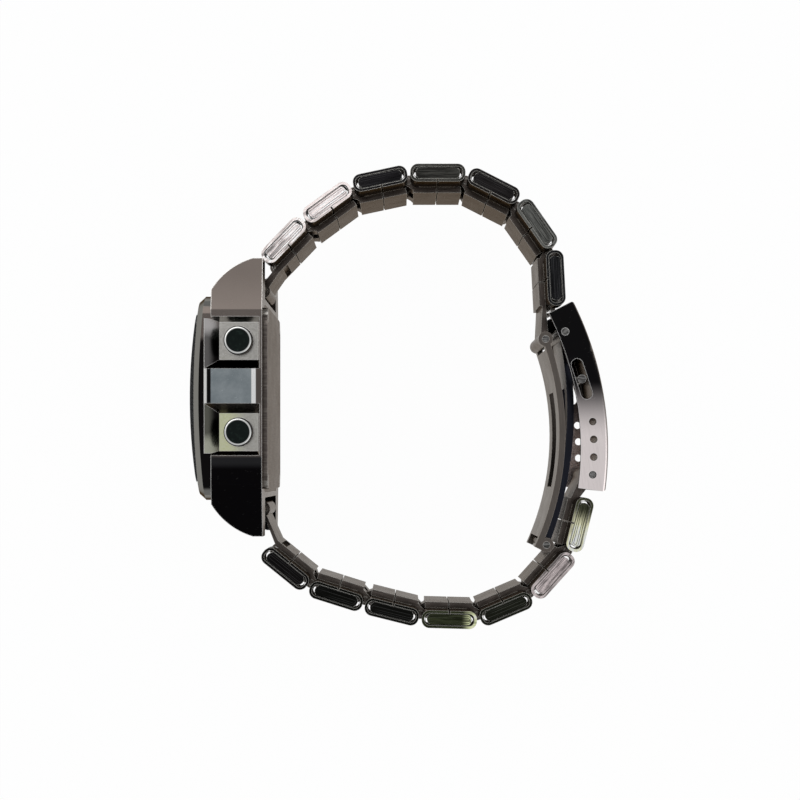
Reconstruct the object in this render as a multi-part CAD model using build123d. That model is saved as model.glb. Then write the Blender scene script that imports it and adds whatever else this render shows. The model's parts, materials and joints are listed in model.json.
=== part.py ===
from build123d import *
import math
import os

# A digital wrist watch on a folded-link steel bracelet with a folding clasp. It lies on its side,
# as on a table: +Z runs across the strap, up through the pushers, -X is where the dial looks,
# and +Y is twelve o'clock. The origin is under the centre of the watch, on the table.
# All lengths are millimetres and all angles are degrees.

# Case
case_width = 34.0
case_front = 30.2
case_back_plane = 22.0
case_half_length = 22.4
shoulder_height = 17.2
lug_nose_depth = 1.6
lug_bow = 0.8
lug_taper = 1.5
lug_taper_start = 14.0
case_edge_round = 0.4
lug_slot_floor = 16.2
lug_bar_depth = 0.9
lug_bar_height = 18.2
case_side_wall = 4.5
case_end_wall = 2.7
cavity_corner = 4.8
cavity_floor = 1.6
window_side_ledge = 2.0
window_end_ledge = 4.5
guard_bulge = 1.1
guard_bulge_reach = 10.8
guard_bulge_gap = 0.2

# Bezel and crystal
bezel_end_margin = 0.6
bezel_side_margin = 2.5
bezel_depth = 3.2
bezel_bow = 1.0
bezel_corner = 3.0
bezel_bevel = 0.9
bezel_frame_wall = 2.4
crystal_depth = 2.7
crystal_edge_depth = 2.5
crystal_corner = 2.0

# Pushers and their pockets
pusher_centre = 1.75
pusher_spread = 7.35
pusher_inset = 3.95
pusher_radius = 2.3
pusher_height = 1.7
pusher_edge = 0.3
pusher_gap = 0.05
stem_radius = 0.9
pusher_travel = 0.7
counterbore_depth = 2.2
spring_wire = 0.45
clip_radius = 1.6
clip_thickness = 0.35
clip_groove = 0.25
clip_gap = 0.15
pocket_length = 6.1
pocket_width = 6.3
pocket_depth = 2.0
pocket_slope_dial = 2.2
pocket_slope_wrist = 0.35
pocket_slope_guard = 1.5
pocket_slope_lug = 0.7

# Module inside the case
gasket_wire = 0.9
gasket_seat = 0.3
back_thickness = 1.5
back_end_ledge = 0.8
back_side_ledge = 1.3
back_corner = 3.0
back_raise = 0.6
back_raise_margin = 0.5
screw_radius = 0.8
screw_head_radius = 1.25
screw_head_height = 0.6
screw_length = 2.4
screw_inset = 1.8
slot_cut = 0.35
mask_thickness = 0.4
mask_clearance = 0.3
lcd_thickness = 1.1
lcd_side_gap = 1.5
strip_spread = 7.8
mask_end_border = 4.25
mask_side_border = 1.0
frame_end_gap = 0.5
frame_side_gap = 2.3
frame_thickness = 3.2
frame_wall = 1.6
board_thickness = 0.6
board_clearance = 0.4
strip_width = 1.4
chip_size = 5.0
chip_thickness = 0.5
quartz_radius = 0.75
quartz_length = 4.6
lamp_length = 2.2
lamp_thickness = 0.9
battery_radius = 5.0
battery_thickness = 1.5
battery_shift = 6.5
clip_strap_width = 3.0
clip_strap_thickness = 0.2
buzzer_radius = 5.4
buzzer_thickness = 0.25
part_gap = 0.05

# Bracelet
link_pitch = 9.45
upper_lug_reach = 3.55
upper_lug_drop = 2.05
lower_lug_reach = 4.6
lower_lug_drop = 4.4
lug_window_width = 1.1
lug_window_inset = 0.7
band_width = 22.0
link_gap = 0.4
link_thickness = 2.9
link_round = 1.3
shell_rise = 0.5
sheet_wall = 0.45
fold_gap = 0.06
fold_end_gap = 0.4
seam_gap = 0.25
groove_width = 0.35
groove_depth = 0.25
groove_place = 7.8
connector_width = 12.0
connector_thickness = 1.0
connector_setback = 0.75
connector_middle_gap = 0.15
web_width = 1.7
lug_web_width = 0.4
barrel_radius = 0.95
hinge_pin_radius = 0.45
hinge_gap = 0.05
knuckle_gap = 0.2
notch_clearance = 0.35
knuckle_third_share = 1 / 3
lug_clearance = 0.25
upper_directions = [46.0, 36.0, 12.0, 0.0, -27.0, -55.0, -87.0]
lower_directions = [-39.0, -17.5, -14.0, -1.5, 23.0, 48.0, 76.0]

# Clasp
upper_tongue_reach = 5.0
upper_tongue_drop = 1.45
lower_tongue_reach = 3.7
cover_wall_height = 4.5
cover_plate = 0.8
cover_side_wall = 0.8
cover_width = 22.8
cover_top_reach = 4.05
cover_top_rise = 3.7
cover_end_reach = 2.3
cover_end_drop = 0.9
cover_bow = 2.3
cover_corner = 0.5
cover_pin_rise = 3.1
adjust_hole_radius = 0.62
adjust_hole_step = 2.9
adjust_hole_count = 4
slot_place = 8.2
slot_rise = 3.25
slot_length = 6.9
slot_width = 1.9
latch_bar_radius = 0.7
fold_setback = 2.1
fold_standoff = 3.1
blade_fold_gap = 1.6
inner_blade_thickness = 1.0
middle_blade_thickness = 1.1
inner_blade_width = 17.0
middle_blade_width = 13.0
inner_blade_bow = 3.4
middle_blade_bow = 2.6
blade_window_length = 15.0
blade_window_width = 7.0
clasp_barrel_radius = 1.2
clasp_pin_radius = 0.6
bar_body_radius = 0.8
bar_tip_radius = 0.45
bar_tip_length = 0.9
bar_shoulder_gap = 0.15
bar_tip_clearance = 0.05
first_direction = 90.0
clasp_opening = 165.0
clasp_top_swing = 4.0
barrel_lean_share = 0.8
barrel_rise_share = 0.6
cut_overrun = 1.0

half_case = case_width / 2
half_band = band_width / 2
parts = {}
bodies = {}
joints = []


def polar(length, angle):
    """A step of a given length in a given direction in the plane of the loop."""
    return Vector(length * math.cos(math.radians(angle)), length * math.sin(math.radians(angle)))


def slab(x_range, y_range, z_range):
    """A block between two corners."""
    size = [high - low for low, high in (x_range, y_range, z_range)]
    middle = [(high + low) / 2 for low, high in (x_range, y_range, z_range)]
    return Pos(*middle) * Box(*size)


def across(sketch, half_width, centre=0.0):
    """A flat outline in the plane of the loop, made as wide as the strap direction asks."""
    return Pos(0, 0, centre - half_width) * extrude(sketch, amount=2 * half_width)


def rod(point, radius, half_width, centre=0.0):
    """A round bar across the strap, through a point of the loop."""
    return Pos(point.X, point.Y, centre) * Cylinder(radius, 2 * half_width)


def disc(x_range, y, z, radius):
    """A round piece whose axis runs through the dial."""
    middle = sum(x_range) / 2
    return Pos(middle, y, z) * Rot(0, 90, 0) * Cylinder(radius, x_range[1] - x_range[0])


def dial_plate(x_range, length, width, corner):
    """A plate parallel to the dial with rounded corners."""
    outline = RectangleRounded(width, length, corner)
    plate = extrude(outline, amount=x_range[1] - x_range[0])
    return Pos(x_range[0], 0, 0) * Rot(0, 90, 0) * plate


def add(name, shape, body):
    """Name a piece and note the rigid body it belongs to."""
    parts[name] = shape
    bodies.setdefault(body, []).append(name)


def add_hinge(name, parent, child, point, low, high):
    """Note a hinge whose axis runs across the strap."""
    joints.append((name, parent, child, point, low, high))


# Openings and plates of the head, each from the size of what holds it
cavity_length = 2 * (shoulder_height - case_end_wall)
cavity_width = case_width - 2 * case_side_wall
window_length = cavity_length - 2 * window_end_ledge
window_width = cavity_width - 2 * window_side_ledge
bezel_length = 2 * (shoulder_height - bezel_end_margin)
bezel_width = case_width - 2 * bezel_side_margin
back_length = cavity_length + 2 * back_end_ledge
back_width = cavity_width + 2 * back_side_ledge
lcd_width = cavity_width - 2 * lcd_side_gap
display_length = window_length - 2 * mask_end_border
display_width = window_width - 2 * mask_side_border
frame_length = cavity_length - 2 * frame_end_gap
frame_width = cavity_width - 2 * frame_side_gap

# Places along the depth of the watch head, from the wrist to the dial
back_x = -case_back_plane
front_x = -case_front
cavity_front_x = front_x + cavity_floor
bar_x = back_x - lug_bar_depth
upper_bar = Vector(bar_x, lug_bar_height)
lower_bar = Vector(bar_x, -lug_bar_height)


# Case
def case_outline():
    """The side view of the case, a bow from the dial down to each lug nose."""
    nose_x = back_x - lug_nose_depth
    middle = Vector((front_x + nose_x) / 2, (shoulder_height + case_half_length) / 2)
    bow = Vector(-lug_bow, lug_bow) / math.sqrt(2)
    lines = [
        Line((back_x, case_half_length), (nose_x, case_half_length)),
        ThreePointArc((nose_x, case_half_length), middle + bow, (front_x, shoulder_height)),
        Line((front_x, shoulder_height), (front_x, -shoulder_height)),
        ThreePointArc((front_x, -shoulder_height), Vector(middle.X + bow.X, -middle.Y - bow.Y),
                      (nose_x, -case_half_length)),
        Line((nose_x, -case_half_length), (back_x, -case_half_length)),
        Line((back_x, -case_half_length), (back_x, case_half_length)),
    ]
    return make_face(Curve() + lines)


def side_wedge(side_y, side_z):
    """What is cut away beside a lug, so that the case narrows towards its nose."""
    tip = side_y * (case_half_length + cut_overrun)
    start = side_y * lug_taper_start
    reach = lug_taper * (tip - start) / (side_y * case_half_length - start)
    over = half_case + cut_overrun
    points = [(start, side_z * half_case), (tip, side_z * (half_case - reach)), (tip, side_z * over),
              (start, side_z * over)]
    outline = make_face(Polyline(*[(front_x - cut_overrun, y, z) for y, z in points], close=True))
    depth = case_front - case_back_plane + 2 * cut_overrun
    return extrude(outline, amount=depth, dir=(1, 0, 0))


def pusher_places():
    """The height of each pusher beside the dial and the side it stands on."""
    heights = [pusher_centre + pusher_spread, pusher_centre - pusher_spread]
    return [(y, side) for side in (1, -1) for y in heights]


pusher_x = back_x - pusher_inset + pusher_gap
pocket_floor = half_case - pocket_depth
cavity_side = cavity_width / 2


def pocket(y, side):
    """A pocket round one pusher, with a slope of its own on each side."""
    guard_side = 1 if y < pusher_centre else -1
    spread = (pocket_depth + cut_overrun) / pocket_depth
    half_x = pocket_width / 2
    half_y = pocket_length / 2
    dial_x = half_x + pocket_slope_dial * spread
    wrist_x = half_x + pocket_slope_wrist * spread
    guard_y = half_y + pocket_slope_guard * spread
    lug_y = half_y + pocket_slope_lug * spread
    floor = Rectangle(pocket_width, pocket_length)
    mouth = Pos((wrist_x - dial_x) / 2, guard_side * (guard_y - lug_y) / 2) * Rectangle(
        dial_x + wrist_x, guard_y + lug_y)
    top = side * (half_case + cut_overrun)
    return loft([Pos(pusher_x, y, side * pocket_floor) * floor, Pos(pusher_x, y, top) * mouth])


def pusher_bore(y, side):
    """The stem hole and the wider seat for head and spring."""
    stem = Pos(pusher_x, y, side * half_case / 2) * Cylinder(stem_radius + pusher_gap, half_case)
    seat_centre = side * (pocket_floor - counterbore_depth / 2)
    seat = Pos(pusher_x, y, seat_centre) * Cylinder(pusher_radius + pusher_gap, counterbore_depth)
    return stem + seat


def screw_places():
    """The four corners where the back is screwed on."""
    y = back_length / 2 - screw_inset
    z = back_width / 2 - screw_inset
    return [(sy * y, sz * z) for sy in (1, -1) for sz in (1, -1)]


seat_x = back_x - back_thickness + back_raise


def make_case():
    """The steel case with its cavity, window, lug slots, pockets and holes."""
    body = across(case_outline(), half_case)
    bulge_foot = bezel_width / 2 + guard_bulge_gap
    bulge_y = (pusher_centre - guard_bulge_reach, pusher_centre + guard_bulge_reach)
    for side_z in (1, -1):
        bulge_z = sorted([side_z * bulge_foot, side_z * half_case])
        body += slab((front_x - guard_bulge, front_x + cavity_floor), bulge_y, bulge_z)
    for side_y in (1, -1):
        for side_z in (1, -1):
            body -= side_wedge(side_y, side_z)
        slot_half = half_band + lug_clearance
        slot_y = sorted([side_y * lug_slot_floor, side_y * (case_half_length + cut_overrun)])
        body -= slab((front_x - guard_bulge - cut_overrun, back_x + cut_overrun), slot_y,
                     (-slot_half, slot_half))
        body -= rod(Vector(bar_x, side_y * lug_bar_height), bar_tip_radius + pusher_gap,
                    slot_half + bar_tip_length)
    body -= dial_plate((cavity_front_x, back_x + cut_overrun), cavity_length, cavity_width, cavity_corner)
    body -= dial_plate((front_x - cut_overrun, back_x), window_length, window_width, crystal_corner)
    body -= dial_plate((seat_x, back_x + cut_overrun), back_length + 2 * part_gap,
                       back_width + 2 * part_gap, back_corner)
    for y, side in pusher_places():
        body -= pocket(y, side)
        body -= pusher_bore(y, side)
    for y, z in screw_places():
        body -= disc((seat_x - screw_length, seat_x + cut_overrun), y, z, screw_radius)
    return body


def bowed_plate(back, edge, crown, length, width, corner):
    """A plate parallel to the dial whose front is an arc along the watch."""
    half = length / 2
    lines = [
        Line((back, -half), (back, half)),
        Line((back, half), (edge, half)),
        ThreePointArc((edge, half), (crown, 0), (edge, -half)),
        Line((edge, -half), (back, -half)),
    ]
    block = across(make_face(Curve() + lines), width / 2)
    return block & dial_plate((crown - cut_overrun, back), length, width, corner)


def make_bezel():
    """The raised frame round the crystal."""
    back = front_x
    front = front_x - bezel_depth
    frame = bowed_plate(back, front + bezel_bow, front, bezel_length, bezel_width, bezel_corner)
    frame = chamfer(frame.faces().filter_by(GeomType.CYLINDER).sort_by(Axis.X)[0].edges(), bezel_bevel)
    inner_length = bezel_length - 2 * bezel_frame_wall
    inner_width = bezel_width - 2 * bezel_frame_wall
    seat = (front - cut_overrun, back - mask_thickness)
    frame -= dial_plate(seat, inner_length, inner_width, crystal_corner)
    way = (front - cut_overrun, back + cut_overrun)
    frame -= dial_plate(way, window_length, window_width, crystal_corner)
    return frame


def make_crystal():
    """The clear window, bowed along the watch and standing a little above its frame."""
    length = bezel_length - 2 * bezel_frame_wall - 2 * part_gap
    width = bezel_width - 2 * bezel_frame_wall - 2 * part_gap
    back = front_x - mask_thickness
    crown = back - crystal_depth - bezel_bevel
    return bowed_plate(back, back - crystal_edge_depth, crown, length, width, crystal_corner)


def make_dial_mask():
    """The printed frame plate behind the crystal, with the display opening."""
    length = window_length - mask_clearance
    width = window_width - mask_clearance
    plate = dial_plate((front_x, front_x + mask_thickness), length, width, crystal_corner)
    way = (front_x - cut_overrun, front_x + cut_overrun)
    return plate - dial_plate(way, display_length, display_width, case_edge_round)


lcd_front = cavity_front_x
lcd_back = lcd_front + lcd_thickness
board_front = lcd_back + strip_width
board_back = board_front + board_thickness
frame_back = lcd_front + frame_thickness + board_thickness


def make_lcd():
    """The two glass plates of the display, laid against the case front."""
    return dial_plate((lcd_front, lcd_back), window_length + strip_width, lcd_width, case_edge_round)


def make_strips():
    """The two rubber strips that carry the segment lines down to the board."""
    strips = []
    for side in (1, -1):
        middle = side * strip_spread
        y_range = (middle - strip_width / 2, middle + strip_width / 2)
        half_strip = frame_width / 2 - frame_wall - part_gap
        strips.append(slab((lcd_back, board_front), y_range, (-half_strip, half_strip)))
    return Compound(children=strips)


def make_module_frame():
    """The moulded holder that keeps display, strips and board in line."""
    block = dial_plate((lcd_back, frame_back), frame_length, frame_width, back_corner - part_gap)
    room_length = frame_length - 2 * frame_wall
    room_width = frame_width - 2 * frame_wall
    way = (lcd_back - cut_overrun, frame_back + cut_overrun)
    return block - dial_plate(way, room_length, room_width, case_edge_round)


def make_board():
    """The circuit board inside the holder."""
    length = frame_length - 2 * frame_wall - board_clearance
    width = frame_width - 2 * frame_wall - board_clearance
    return dial_plate((board_front, board_back), length, width, case_edge_round)


chip_middle = -battery_shift - chip_size / 2 + battery_radius / 2


def make_chip():
    """The clock chip on the board, under its drop of resin."""
    x_range = (board_back, board_back + chip_thickness)
    half = chip_size / 2
    return slab(x_range, (chip_middle - half, chip_middle + half), (-half, half))


def make_quartz():
    """The small can of the timing crystal, lying on the board."""
    z = chip_size / 2 + 2 * quartz_radius
    can = Rot(90, 0, 0) * Cylinder(quartz_radius, quartz_length)
    return Pos(board_back + quartz_radius, chip_middle, z) * can


def make_lamp():
    """The lamp beside the display."""
    z = frame_width / 2 - frame_wall - lamp_thickness
    half = lamp_thickness / 2
    return slab((lcd_back, board_front), (-lamp_length / 2, lamp_length / 2), (z - half, z + half))


battery_x = (board_back + part_gap, board_back + part_gap + battery_thickness)


def make_battery():
    """The coin cell behind the board."""
    return disc(battery_x, battery_shift, 0, battery_radius)


def make_battery_clip():
    """The sprung strap that holds the cell, standing on the board beside it."""
    reach = battery_radius + part_gap + clip_strap_thickness
    top = (battery_x[1], battery_x[1] + clip_strap_thickness)
    half = clip_strap_width / 2
    strap = slab(top, (battery_shift - half, battery_shift + half), (-reach, reach))
    for side in (1, -1):
        z_range = sorted([side * (reach - clip_strap_thickness), side * reach])
        strap += slab((board_back, top[1]), (battery_shift - half, battery_shift + half), z_range)
    return strap


back_inner_x = seat_x


def make_buzzer():
    """The sounder disc stuck to the inside of the back."""
    x_range = (back_inner_x - buzzer_thickness, back_inner_x)
    return disc(x_range, -battery_shift, 0, buzzer_radius)


def make_case_back():
    """The back plate, let into the case, with a raised field towards the wrist."""
    outer_x = back_inner_x + back_thickness - back_raise
    plate = dial_plate((back_inner_x, outer_x), back_length, back_width, back_corner)
    raised_length = back_length - 2 * back_raise_margin
    raised = (back_inner_x, back_inner_x + back_thickness)
    plate += dial_plate(raised, raised_length, back_width, back_corner)
    for y, z in screw_places():
        plate -= disc((back_inner_x - cut_overrun, outer_x + cut_overrun), y, z, screw_radius)
        plate -= disc((outer_x, raised[1] + cut_overrun), y, z, screw_head_radius + part_gap)
    return plate


def make_gasket():
    """The rubber ring between the case and its back."""
    x_range = (seat_x - gasket_seat, seat_x)
    ring = dial_plate(x_range, cavity_length - 2 * part_gap, cavity_width - 2 * part_gap, cavity_corner)
    inner_length = cavity_length - 2 * gasket_wire
    inner_width = cavity_width - 2 * gasket_wire
    way = (x_range[0] - cut_overrun, x_range[1] + cut_overrun)
    return ring - dial_plate(way, inner_length, inner_width, cavity_corner - gasket_wire)


def make_screws():
    """Four countersunk screws through the corners of the back."""
    outer_x = back_inner_x + back_thickness - back_raise
    screws = []
    for y, z in screw_places():
        shank = disc((back_inner_x - screw_length + part_gap, outer_x), y, z, screw_radius - part_gap)
        head = disc((outer_x, outer_x + screw_head_height), y, z, screw_head_radius)
        top_x = outer_x + screw_head_height
        cut_y = (y - screw_head_radius, y + screw_head_radius)
        cut_z = (z - slot_cut / 2, z + slot_cut / 2)
        slot = slab((top_x - slot_cut, top_x + cut_overrun), cut_y, cut_z)
        screws.append(shank + head - slot)
    return Compound(children=screws)


# Pushers
def make_pusher(y, side):
    """A round pusher head with its stem."""
    top = pocket_floor + pusher_height
    foot = pocket_floor - counterbore_depth + pusher_travel + 2 * spring_wire
    head = Cylinder(pusher_radius, top - foot)
    head = fillet(head.edges().group_by(Axis.Z)[-1], pusher_edge)
    stem_foot = cavity_side - pusher_travel - 2 * clip_thickness
    stem = Pos(0, 0, (stem_foot + foot) / 2) * Cylinder(stem_radius, foot - stem_foot)
    groove = Cylinder(stem_radius + cut_overrun, clip_thickness + 2 * part_gap)
    groove -= Cylinder(stem_radius - clip_groove, clip_thickness + 2 * part_gap)
    stem -= Pos(0, 0, cavity_side - clip_thickness / 2 - clip_gap) * groove
    shape = Pos(0, 0, (top + foot) / 2) * head + stem
    if side < 0:
        shape = Rot(180, 0, 0) * shape
    return Pos(pusher_x, y, 0) * shape


def make_pusher_clip(y, side):
    """The split washer that keeps a stem from coming out."""
    z = cavity_side - clip_thickness / 2 - clip_gap
    mouth = stem_radius - clip_groove
    ring = Cylinder(clip_radius, clip_thickness) - Cylinder(mouth + part_gap / 2, clip_thickness)
    ring -= slab((0, clip_radius + cut_overrun), (-mouth / 2, mouth / 2), (-clip_thickness, clip_thickness))
    return Pos(pusher_x, y, side * z) * ring


def make_pusher_spring(y, side):
    """The return spring round a stem, kept as a plain sleeve of its outer size."""
    foot = pocket_floor - counterbore_depth
    top = foot + pusher_travel + 2 * spring_wire
    outer = stem_radius + pusher_gap + 2 * spring_wire
    sleeve = Cylinder(outer, top - foot) - Cylinder(outer - spring_wire, top - foot)
    return Pos(pusher_x, y, side * (top + foot) / 2) * sleeve


# Bracelet, each link drawn along +X from its first hinge and then turned into place
link_length = link_pitch - link_gap
shell_half = link_thickness / 2
panel_bottom = -shell_half - connector_thickness
notch_reach = link_gap / 2 + barrel_radius + notch_clearance
shell_middle = link_pitch / 2


def stadium(length, thickness, corner):
    """The end view of a flattened roll of sheet."""
    return RectangleRounded(length, thickness, corner)


def make_shell(offset):
    """The folded sheet shell of one link, notched where the connectors pass."""
    outline = stadium(link_length, link_thickness, link_round)
    inside = stadium(link_length - 2 * sheet_wall, link_thickness - 2 * sheet_wall, link_round - sheet_wall)
    shell = across(outline - inside, half_band)
    fold_inset = sheet_wall + fold_gap
    fold_length = link_length - 2 * fold_inset - 2 * fold_end_gap
    fold = stadium(fold_length, link_thickness - 2 * fold_inset, link_round - fold_inset)
    core = across(fold, half_band - groove_depth)
    middle = Pos(offset + shell_middle, 0, 0)
    notch_half = connector_width / 2 + notch_clearance
    solids = []
    for solid in (shell, core):
        solid = middle * solid
        for end in (offset + link_gap / 2, offset + link_pitch - link_gap / 2):
            solid -= slab((end - notch_reach, end + notch_reach), (-link_thickness, link_thickness),
                          (-notch_half, notch_half))
        solids.append(solid)
    seam = (offset + shell_middle - seam_gap / 2, offset + shell_middle + seam_gap / 2)
    solids[0] -= slab(seam, (-shell_half - cut_overrun, -shell_half + sheet_wall + fold_gap),
                      (-band_width, band_width))
    groove_top = (shell_half - groove_depth, shell_half + cut_overrun)
    for side in (1, -1):
        z_range = (side * groove_place - groove_width / 2, side * groove_place + groove_width / 2)
        solids[0] -= slab((offset, offset + link_pitch), groove_top, z_range)
    return solids


def knuckle_rows(row):
    """The stretches across the strap that a connector's knuckles take."""
    edge = connector_width / 2
    inner = edge * knuckle_third_share
    if row == "middle":
        return [(-inner, inner)]
    if row == "sides":
        return [(inner + knuckle_gap, edge), (-edge, -inner - knuckle_gap)]
    return [(-edge, edge)]


def make_connector(reach, rise, row, radius, pin_radius, window):
    """A strip under the shell that curls up round a hinge pin above or below the origin."""
    edge = connector_width / 2
    start = reach + connector_setback
    end = reach + (link_pitch - connector_middle_gap) / 2
    strip = slab((start, end), (panel_bottom, -shell_half), (-edge, edge))
    top_corner = start + (lug_web_width if window else web_width)
    low_corner = panel_bottom if window else panel_bottom + sheet_wall
    hook = [(-barrel_lean_share * radius, rise - barrel_rise_share * radius),
            (barrel_lean_share * radius, rise + barrel_rise_share * radius),
            (top_corner, -shell_half), (start, low_corner)]
    for low, high in knuckle_rows(row):
        half = (high - low) / 2
        centre = (high + low) / 2
        strip += across(make_face(Polyline(*hook, close=True)), half, centre)
        strip += rod(Vector(0, rise), radius, half, centre)
    if window:
        low = start + lug_window_inset
        strip -= slab((low, low + lug_window_width), (panel_bottom - cut_overrun, -shell_half - sheet_wall),
                      (lug_window_inset - edge, edge - lug_window_inset))
    return strip - rod(Vector(0, rise), pin_radius + hinge_gap, edge + cut_overrun)


def make_link(first, last):
    """The solids of one link: shell, folded layers, two connectors and any hinge pin."""
    length = first["reach"] + link_pitch + last["reach"]
    solids = make_shell(first["reach"])
    solids.append(make_connector(**first))
    solids.append(Pos(length, 0, 0) * mirror(make_connector(**last), Plane.YZ))
    if last["row"] == "middle":
        solids.append(Pos(length, last["rise"], 0) * Cylinder(hinge_pin_radius, connector_width))
    return solids


def end_of(reach=0.0, drop=shell_rise, row="sides", radius=barrel_radius, pin_radius=hinge_pin_radius,
           window=False):
    """What one end of a link reaches to, how far inside the shell's middle, and curls round."""
    return {"reach": reach, "rise": -drop, "row": row, "radius": radius, "pin_radius": pin_radius,
            "window": window}


# The route of the bracelet, from the upper lug round to the clasp and from the lower lug back to it
upper_joints = [upper_bar, upper_bar + polar(upper_lug_reach + link_pitch, upper_directions[0])
                + polar(upper_lug_drop, upper_directions[0] + 90)]
for direction in upper_directions[1:]:
    upper_joints.append(upper_joints[-1] + polar(link_pitch, direction))
lower_joints = [lower_bar, lower_bar + polar(lower_lug_reach + link_pitch, lower_directions[0])
                + polar(lower_lug_drop, lower_directions[0] - 90)]
for direction in lower_directions[1:-1]:
    lower_joints.append(lower_joints[-1] + polar(link_pitch, direction))
clasp_top = (upper_joints[-1] + polar(upper_tongue_reach, upper_directions[-1])
             - polar(upper_tongue_drop, upper_directions[-1] + 90))
clasp_end = (lower_joints[-1] + polar(link_pitch + lower_tongue_reach, lower_directions[-1])
             + polar(shell_rise, lower_directions[-1] - 90))
clasp_line = clasp_end - clasp_top
clasp_angle = math.degrees(math.atan2(clasp_line.Y, clasp_line.X))
clasp_place = Pos(clasp_top.X, clasp_top.Y, 0) * Rot(0, 0, clasp_angle)


def clasp_point(point):
    """A place of the clasp's own drawing, in the frame of the watch."""
    return clasp_top + polar(point.X, clasp_angle) + polar(point.Y, clasp_angle + 90)


def in_clasp(point):
    """A place in the frame of the watch, in the clasp's own drawing."""
    return (point - clasp_top).rotate(Axis.Z, -clasp_angle)


def bow_circle(start, end, bow):
    """The centre and radius of the arc that bows out between two points."""
    chord = end - start
    radius = (chord.length ** 2 / 4 + bow ** 2) / (2 * bow)
    out = Vector(-chord.Y, chord.X).normalized()
    return (start + end) / 2 - out * (radius - bow), radius, out


def arc_strip(start, end, bow, low, high, overrun=0.0):
    """A curved strip along the arc between two points, from one offset to the other."""
    centre, radius, out = bow_circle(start, end, bow)
    turn = math.degrees(overrun / radius)
    rays = [(start - centre).rotate(Axis.Z, turn), out * radius, (end - centre).rotate(Axis.Z, -turn)]
    outer = [centre + ray * ((radius + high) / radius) for ray in rays]
    inner = [centre + ray * ((radius + low) / radius) for ray in rays]
    lines = [ThreePointArc(*outer), Line(outer[2], inner[2]), ThreePointArc(*reversed(inner)),
             Line(inner[0], outer[0])]
    return make_face(Curve() + lines)


# Clasp, drawn with +X down the clasp from its upper hinge and +Y away from the wrist
adjust_place = Vector(clasp_line.length, 0)
cover_start = Vector(-cover_top_reach, cover_top_rise)
cover_finish = Vector(clasp_line.length + cover_end_reach, -cover_end_drop)
cover_pin_place = Vector(0, cover_pin_rise)
fold_place = in_clasp(lower_joints[-1]) - Vector(fold_setback, fold_standoff)
slot_middle = Vector(slot_place, slot_rise)
wall_half = cover_wall_height / 2
channel_half = cover_width / 2 - cover_side_wall
blade_half = inner_blade_width / 2
middle_half = middle_blade_width / 2
bar_barrel_radius = barrel_radius + bar_body_radius - hinge_pin_radius
knuckle_inset = clasp_barrel_radius + sheet_wall
knuckle_room = 2 * (clasp_barrel_radius + blade_fold_gap)


def make_cover():
    """The outer cover of the clasp, a channel with adjusting holes and a latch slot."""
    side = arc_strip(cover_start, cover_finish, cover_bow, -wall_half, wall_half)
    block = across(side, cover_width / 2)
    outer_face = block.faces().filter_by(GeomType.CYLINDER).sort_by(Axis.Y)[-1]
    block = fillet(outer_face.edges(), cover_corner)
    channel = arc_strip(cover_start, cover_finish, cover_bow, -wall_half - cut_overrun,
                        wall_half - cover_plate, cut_overrun)
    block -= across(channel, channel_half)
    centre = bow_circle(cover_start, cover_finish, cover_bow)[0]
    ray = adjust_place - centre
    for step in range(adjust_hole_count):
        place = centre + ray.rotate(Axis.Z, math.degrees(step * adjust_hole_step / ray.length))
        block -= rod(place, adjust_hole_radius, cover_width)
    block -= rod(cover_pin_place, clasp_pin_radius, cover_width)
    slot = Pos(slot_middle.X, slot_middle.Y) * SlotOverall(slot_length, slot_width)
    return block - across(slot, cover_width)


def make_spring_bar(place, half_span, tip_reach):
    """A sprung bar between two walls, with its thin tips."""
    bar = rod(place, bar_body_radius, half_span - bar_shoulder_gap)
    return bar + rod(place, bar_tip_radius, half_span + tip_reach)


def blade_window():
    """The opening in the middle of both blades, as a block through them."""
    low = (fold_place.X - blade_window_length) / 2
    height = fold_place.length
    return slab((low, low + blade_window_length), (-height, height),
                (-blade_window_width / 2, blade_window_width / 2))


def make_inner_blade():
    """The blade next to the wrist, with a window and knuckles at both ends."""
    half_sheet = inner_blade_thickness / 2
    finish = fold_place - Vector(0, blade_fold_gap)
    strip = arc_strip(Vector(0, 0), finish, inner_blade_bow, -half_sheet, half_sheet)
    blade = across(strip, blade_half)
    blade -= blade_window()
    ends = [(Vector(0, 0), connector_width / 2, 1), (fold_place, middle_half, -1)]
    for place, clear_half, inward in ends:
        inner = clear_half + knuckle_gap
        x_range = sorted([place.X - inward * knuckle_inset, place.X + inward * knuckle_inset])
        blade -= slab(x_range, (place.Y - knuckle_room, place.Y + knuckle_room), (-inner, inner))
        half = (blade_half - inner) / 2
        for side in (1, -1):
            centre = side * (inner + half)
            blade += rod(place, clasp_barrel_radius, half, centre)
        blade -= rod(place, clasp_pin_radius, inner_blade_width)
    return blade


def make_middle_blade():
    """The blade that folds between the cover and the inner blade."""
    half_sheet = middle_blade_thickness / 2
    strip = arc_strip(cover_pin_place, fold_place, middle_blade_bow, -half_sheet, half_sheet)
    blade = across(strip, middle_half)
    blade -= blade_window()
    blade += rod(cover_pin_place, clasp_barrel_radius, channel_half - knuckle_gap)
    blade += rod(fold_place, clasp_barrel_radius, middle_half)
    for place in (cover_pin_place, fold_place):
        blade -= rod(place, clasp_pin_radius + hinge_gap, cover_width)
    return blade


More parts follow.
